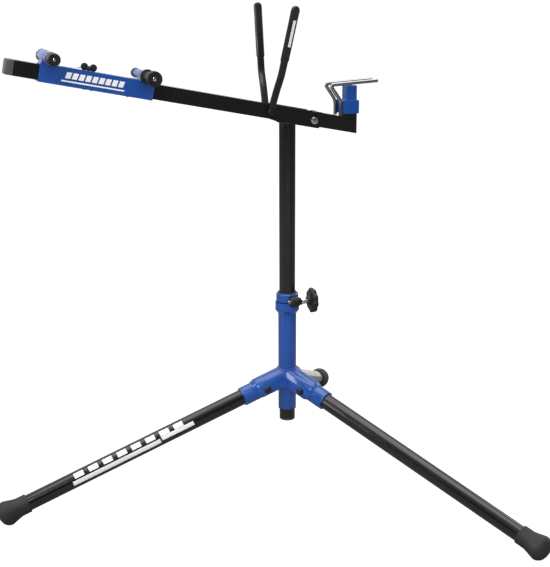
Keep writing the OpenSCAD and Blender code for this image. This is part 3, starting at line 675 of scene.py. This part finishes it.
knob_turned("front_knob_turned", "front_clamp", 12.5, -82, -50, FRONT_AXLE, 10, ("front_knob",))
collar = [(10.1, -63.6), (11.2, -63.6), (11.6, -63.0), (11.6, -51.0), (11.2, -50.4), (10.1, -50.4)]
v, f = placed(turned(collar, 0.4), TO_Y)
add_piece("front_knob_collar", "front_clamp", "zinc_steel", v, f, FRONT_AXLE)
knob_turned("rear_knob_turned", "rear_clamp", 15.5, -90, -70, REAR_AXLE, 11, ("rear_knob",))

for label, place, r, y0 in (("front", FRONT_AXLE, 11, 60), ("rear", REAR_AXLE, 9, 70)):
    nut = [placed(turned([(2.7, y0), (r, y0), (r, y0 + 3.8), (2.7, y0 + 3.8)], 0.5), TO_Y),
           placed(hexagon(r - 1, y0 + 4, y0 + 11.8, 1.0), TO_Y),
           placed(threaded(2.5, y0 - 2, y0 + 13.9, 0.9, 0.3, 16), TO_Y)]
    v, f = join_parts(nut)
    add_piece(f"{label}_nut_hex", f"{label}_clamp", "zinc_steel", v, f, place, stands_for=(f"{label}_nut",))

roller = [(4.6, -64.6), (12.4, -64.6), (13, -64.0), (13, -61.6), (12.2, -61.0), (10.4, -60.6), (9.9, -59.4),
          (9.9, -34.6), (10.4, -33.8), (13.7, -33.6), (14.5, -32.8), (14.5, -28.2), (13.8, -27.4),
          (4.6, -27.4)]
v, f = placed(turned(roller, 0.5, 56), TO_Y)
add_piece("chain_roller_turned", "chain_roller", "black_plastic", v, f, REAR_AXLE,
          stands_for=("chain_roller",))

# light ring and shoulder ring on the front axle tube
for name, y0, y1, r in (("front_ring_near", -44.8, -42.4, 12.9), ("front_ring_far", 51.5, 54.4, 13.0)):
    v, f = placed(turned([(12.3, y0), (r, y0 + 0.3), (r, y1 - 0.3), (12.3, y1)], 0.3, 48), TO_Y)
    add_piece(name, "carriage", "chrome", v, f, FRONT_AXLE)
v, f = placed(turned([(9.4, 61.6), (10.2, 62), (10.2, 64.4), (9.4, 64.8)], 0.3, 48), TO_Y)
add_piece("rear_ring_far", "carriage", "black_plastic", v, f, REAR_AXLE)

wing_parts = [turned([(0, 0.1), (6.2, 0.1), (6.6, 0.9), (6.6, 6.6), (5.6, 8.2), (0, 8.6)], 0.8, 36)]
for s in (-1, 1):
    lobe = turned([(0, -3.4), (5.6, -3.4), (7.1, -2.5), (7.3, 0), (7.1, 2.5), (5.6, 3.4), (0, 3.4)], 0.9, 40)
    wing_parts.append(placed(lobe, at(9 * s, 0, 6.5) @ TO_Y))
web = [[Vector((x, y, z + 4.6)) * MM for y, z in soft_box(6.4, 8.6, 2.0, 4)] for x in (-9, 9)]
wing_parts.append(rings_mesh(web))
v, f = join_parts(wing_parts)
add_piece("wing_knob_moulded", "wing_lock", "black_plastic", v, f, WING, sharp=50,
          stands_for=("wing_knob",))
tail = [[Vector((x, y * k, z * k + 3.0)) * MM for y, z in soft_box(3.4, 1.8, 0.7, 3)]
        for x, k in ((-12, 1.0), (-18, 1.0), (-22.6, 0.95), (-23.6, 0.7), (-24.0, 0.3))]
v, f = rings_mesh(tail)
add_piece("wing_knob_tail", "wing_lock", "zinc_steel", v, f, WING)

screws = []
for t in (-433, -418, -345):
    screws.append(placed(turned([(0, 0), (3.4, 0), (3.4, 0.5), (3.1, 1.3), (1.9, 2.1), (0, 2.3)], 0.4, 24),
                         at(t, 0, -17.7) @ Matrix.Rotation(pi, 4, "X")))
v, f = join_parts(screws)
add_piece("carriage_screw_heads", "carriage", "zinc_steel", v, f, BEAM, stands_for=("carriage_screws",))


def carriage_film(name, x0, x1, z0, z1, lean):
    """A thin film on the carriage's side that faces -Y, its upper edge shifted by lean."""
    corners = [(x0, -17.78, z0), (x1, -17.78, z0), (x1 + lean, -17.78, z1), (x0 + lean, -17.78, z1)]
    v, f = slab(corners, Vector((0, -FILM, 0)))
    add_piece(name, "carriage", "blue_paint", v, f, BEAM, LABEL, 60)


for k in range(9):
    carriage_film(f"carriage_block_{k}", -476 + 13.2 * k, -466 + 13.2 * k, -2.5, 9.5, 3)
carriage_film("carriage_line", -483, -357, -9.5, -6.6, 0.5)

for name, body, place, line, r in (
        ("front_block_weld_near", "carriage", FRONT_AXLE, [(-11.6, -15.4, -5), (11.6, -15.4, -5)], 1.2),
        ("rear_block_weld_near", "carriage", REAR_AXLE, [(-9, -15.4, -4), (9, -15.4, -4)], 1.1),
        ("front_block_weld_foot", "carriage", FRONT_AXLE, [(-12, -15.3, -12.4), (12, -15.3, -12.4)], 1.2),
        ("rear_block_weld_foot", "carriage", REAR_AXLE, [(-9.5, -15.3, -9.4), (9.5, -15.3, -9.4)], 1.1)):
    bead(name, body, "blue_paint", WELD_BLUE, line, r, place, 2.8)

# ---------------------------------------------------------------- cradle
c_low, c_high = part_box("cradle_sleeve")
STUB_X = (c_low.x + c_high.x) / 2 / MM
CRADLE_Z = c_low.z / MM
ROD_X = (c_low.x / MM) - 4.05
CRADLE = Matrix.Translation((0, POST_Y, 0))
ROD_BENDS = [(0, -3.5), (0, 26.5), (-24.6, 61.3), (83, 66.9)]
rods = []
for y in (-15, 15):
    line = rounded([Vector((ROD_X + x, y, CRADLE_Z + z)) for x, z in ROD_BENDS], 9.5, 8)
    line = dense([tuple(p) for p in line], 2.5)
    end = (line[-1] - line[-2]).normalized()
    line.append(line[-1] + end * 1.4)
    line.append(line[-1] + end * 0.1)

    def tip(i, last=len(line) - 1):
        k = 1.0 if i < last - 1 else (0.72 if i == last - 1 else 0.6)
        return (k, k)

    rods.append(swept(line, circle(4, 20), tip))
v, f = join_parts(rods)
# the rods wear the darkened chrome copy, a painted shade in their reflections
add_piece("cradle_rods_bent", "cradle", "chrome", v, f, CRADLE, DARKENED_ROD_CHROME, sharp=50,
          stands_for=("cradle_rods",))
r_low, r_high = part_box("cradle_riser")
rx0, rx1 = r_low.x / MM, r_high.x / MM
top = r_low.z / MM
ring = [(rx0 - 0.3, -12.7, top), (rx1 + 0.3, -12.7, top), (rx1 + 0.3, 12.7, top), (rx0 - 0.3, 12.7, top),
        (rx0 - 0.3, -12.7, top)]
bead("riser_weld", "cradle", "blue_paint", WELD_BLUE, rounded(ring, 2.5, 4), 1.5, CRADLE, 3.0, closed=True)
for name, y in (("near", -11.4), ("far", 11.4)):
    z = r_high.z / MM + 0.2
    bead(f"rod_weld_{name}", "cradle", "blue_paint", WELD_BLUE, [(rx0 + 1, y, z), (rx1 - 1, y, z)],
         1.6, CRADLE, 3.0)

SQUEEZE = 0.94      # the whole profile is drawn this much smaller across
grip = [(0, 0, 18.9), (6, 0, 18.9), (6, 0, 24), (8.0, 0.9, 24.4), (8.4, 1.1, 26), (8.4, 1.1, 31.2),
        (7.6, 0.8, 32.6), (5.8, 0.2, 33.1), (0, 0, 33.1)]
v, f = placed(lobed([(max(r, AXIS_R) * SQUEEZE, swell * SQUEEZE, z) for r, swell, z in grip], 96, 6), TO_Y)
add_piece("cradle_knob_lobed", "cradle_lock", "black_plastic", v, f,
          at(STUB_X, POST_Y / MM, CRADLE_Z + 13), sharp=45, stands_for=("cradle_knob",))

# ---------------------------------------------------------------- bands and plain labels
leg_band("left_leg_stripe", "left", 322, 530, 76, 108)
leg_band("left_leg_strip_short", "left", 240, 318, 88, 118)
for k in range(8):
    leg_band(f"left_leg_dash_{k}", "left", 262 + 34 * k, 284 + 34 * k, 120, 160)
leg_band("rear_leg_band", "rear", 150, 560, 92, 262)

# ---------------------------------------------------------------- floor, light and camera
def floor_material():
    """White to the camera, and dull to everything that the stand reflects."""
    m, ns, ln = new_material("pale_floor")
    shader = ns["Principled BSDF"]
    coords = ns.new("ShaderNodeTexCoord").outputs["Object"]
    tone = spread(ns, ln, noise(ns, ln, coords, 1.5), 0.3, 0.7, 0.0, 1.0)
    ln.new(mixed(ns, ln, tone, (0.22, 0.22, 0.22), (0.24, 0.24, 0.24)), shader.inputs["Base Color"])
    shader.inputs["Roughness"].default_value = 0.7
    shader.inputs["Specular IOR Level"].default_value = 0.2
    shader.inputs["Emission Color"].default_value = (1, 1, 1, 1)
    seen = ns.new("ShaderNodeLightPath").outputs["Is Camera Ray"]
    ln.new(times(ns, ln, seen, 0.92), shader.inputs["Emission Strength"])
    return m


mesh = bpy.data.meshes.new("floor")
mesh.from_pydata([(-9, -9, 0), (9, -9, 0), (9, 9, 0), (-9, 9, 0)], [], [(0, 1, 2, 3)])
mesh.materials.append(floor_material())
floor = bpy.data.objects.new("floor", mesh)
bpy.context.scene.collection.objects.link(floor)

world = bpy.data.worlds.new("studio")
bpy.context.scene.world = world
world.use_nodes = True
ns, ln = world.node_tree.nodes, world.node_tree.links
ns.clear()
out = ns.new("ShaderNodeOutputWorld")
coords = ns.new("ShaderNodeTexCoord")
axes = ns.new("ShaderNodeSeparateXYZ")
ln.new(coords.outputs["Generated"], axes.inputs[0])
back = spread(ns, ln, axes.outputs["Y"], -0.35, 0.75, 0.10, 1.0)
lift = spread(ns, ln, axes.outputs["Z"], 0.45, 0.95, 0.0, 0.9)
both = ns.new("ShaderNodeMath")
both.operation = "MAXIMUM"
ln.new(back, both.inputs[0])
ln.new(lift, both.inputs[1])
lit = ns.new("ShaderNodeBackground")
ln.new(both.outputs[0], lit.inputs["Strength"])
plain = ns.new("ShaderNodeBackground")
plain.inputs["Color"].default_value = (1, 1, 1, 1)
plain.inputs["Strength"].default_value = 1.05
path = ns.new("ShaderNodeLightPath")
choose = ns.new("ShaderNodeMixShader")
ln.new(path.outputs["Is Camera Ray"], choose.inputs[0])
ln.new(lit.outputs[0], choose.inputs[1])
ln.new(plain.outputs[0], choose.inputs[2])
ln.new(choose.outputs[0], out.inputs["Surface"])


def softbox(name, spot, target, width, height, watts):
    """A rectangular lamp at spot that faces target, in metres."""
    lamp = bpy.data.lights.new(name, "AREA")
    lamp.shape = "RECTANGLE"
    lamp.size, lamp.size_y, lamp.energy = width, height, watts
    o = bpy.data.objects.new(name, lamp)
    o.location = spot
    o.rotation_mode = "QUATERNION"
    o.rotation_quaternion = (Vector(target) - Vector(spot)).to_track_quat("-Z", "Y")
    bpy.context.scene.collection.objects.link(o)


softbox("top", (0.1, 0.3, 3.4), (0, 0, 0.3), 3.6, 3.0, 80)
softbox("left", (-3.2, -0.3, 1.9), (0, 0, 0.5), 1.0, 2.6, 60)
softbox("front", (-1.9, -3.0, 2.9), (0, 0, 0.5), 0.4, 0.4, 30)
softbox("fill", (-0.6, -4.2, 1.6), (0, 0, 0.5), 2.6, 2.2, 120)
bpy.data.objects["fill"].visible_glossy = False
softbox("right", (3.2, 0.8, 1.6), (0, 0, 0.5), 1.2, 2.0, 22)

AZIMUTH, ELEVATION, ROLL = radians(20.05), radians(17.98), radians(-0.18)
forward = Vector((sin(AZIMUTH) * cos(ELEVATION), cos(AZIMUTH) * cos(ELEVATION), -sin(ELEVATION)))
right = Vector((cos(AZIMUTH), -sin(AZIMUTH), 0))
upward = right.cross(forward)
right, upward = right * cos(ROLL) + upward * sin(ROLL), upward * cos(ROLL) - right * sin(ROLL)
camera_data = bpy.data.cameras.new("camera")
camera_data.lens = 76.99
camera_data.sensor_width = 36
camera_data.shift_x, camera_data.shift_y = 0.0, 0.12
camera_data.clip_end = 60
camera = bpy.data.objects.new("camera", camera_data)
bpy.context.scene.collection.objects.link(camera)
turn = Matrix((right, upward, -forward)).transposed().to_4x4()
camera.matrix_world = POST @ Matrix.Translation((-0.9089, -2.4108, 1.1447)) @ turn
bpy.context.scene.camera = camera
bpy.context.scene.view_settings.view_transform = "Standard"
